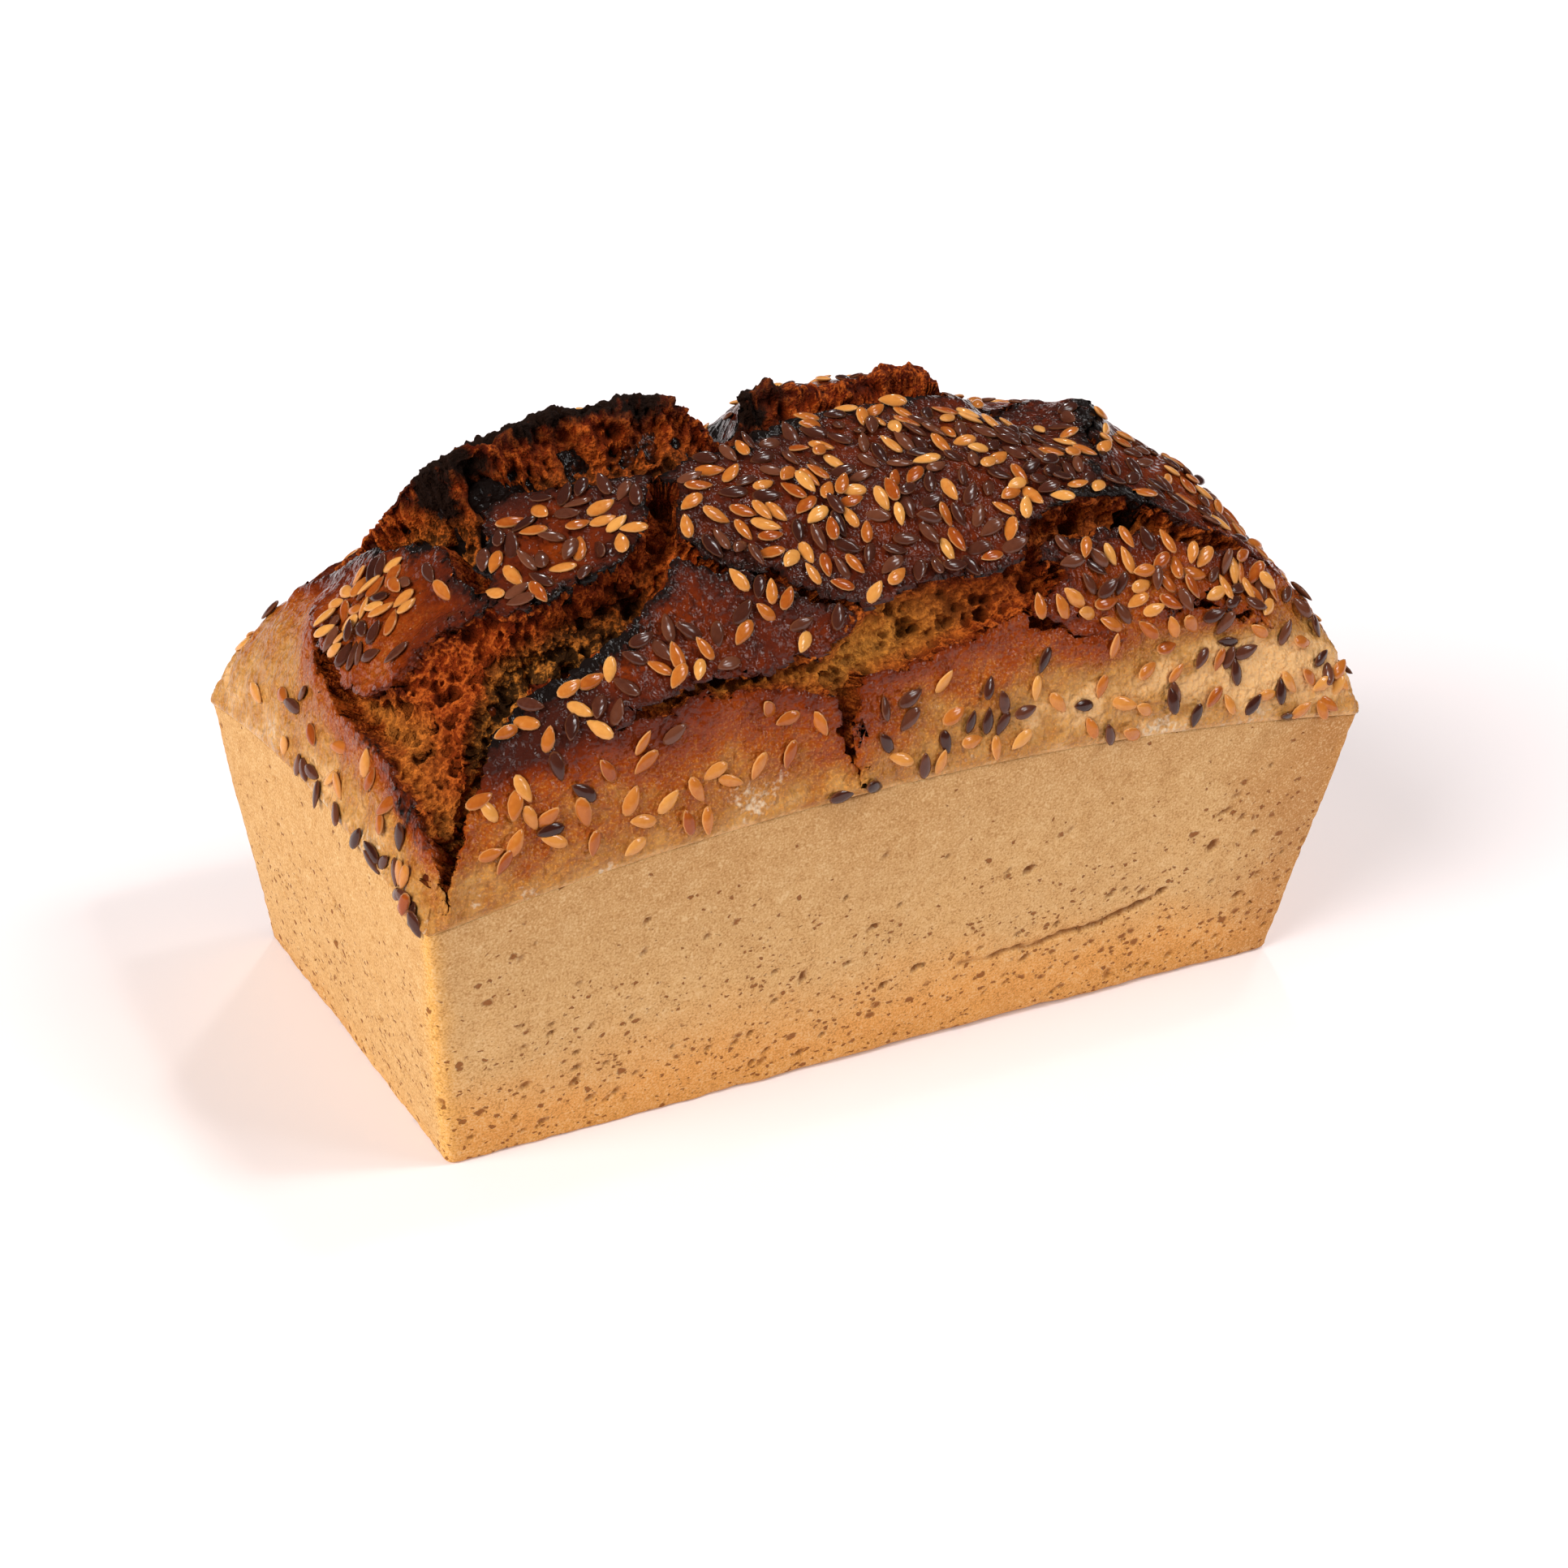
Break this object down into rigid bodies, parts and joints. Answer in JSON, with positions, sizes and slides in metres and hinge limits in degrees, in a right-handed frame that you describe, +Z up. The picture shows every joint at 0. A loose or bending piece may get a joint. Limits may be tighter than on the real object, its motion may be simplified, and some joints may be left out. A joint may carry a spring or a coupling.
{
  "type": "rye bread loaf",
  "caption": "Tin-baked rye loaf with leaning smooth walls and a domed, burst dark crust sprinkled with linseed; stands on its flat base.",
  "frame": {"origin": "middle of the flat base", "axes": "+X along the loaf, +Y across it away from the side with the corner tear, +Z up"},
  "size_m": [0.2016, 0.1079, 0.1186],
  "materials": {
    "crust": "baked crust: pale tan where the tin pressed it, golden to dark brown and charred on the dome, torn orange-brown crumb in the tears"
  },
  "bodies": {
    "root": {"loaf": "crust"}
  },
  "joints": []
}
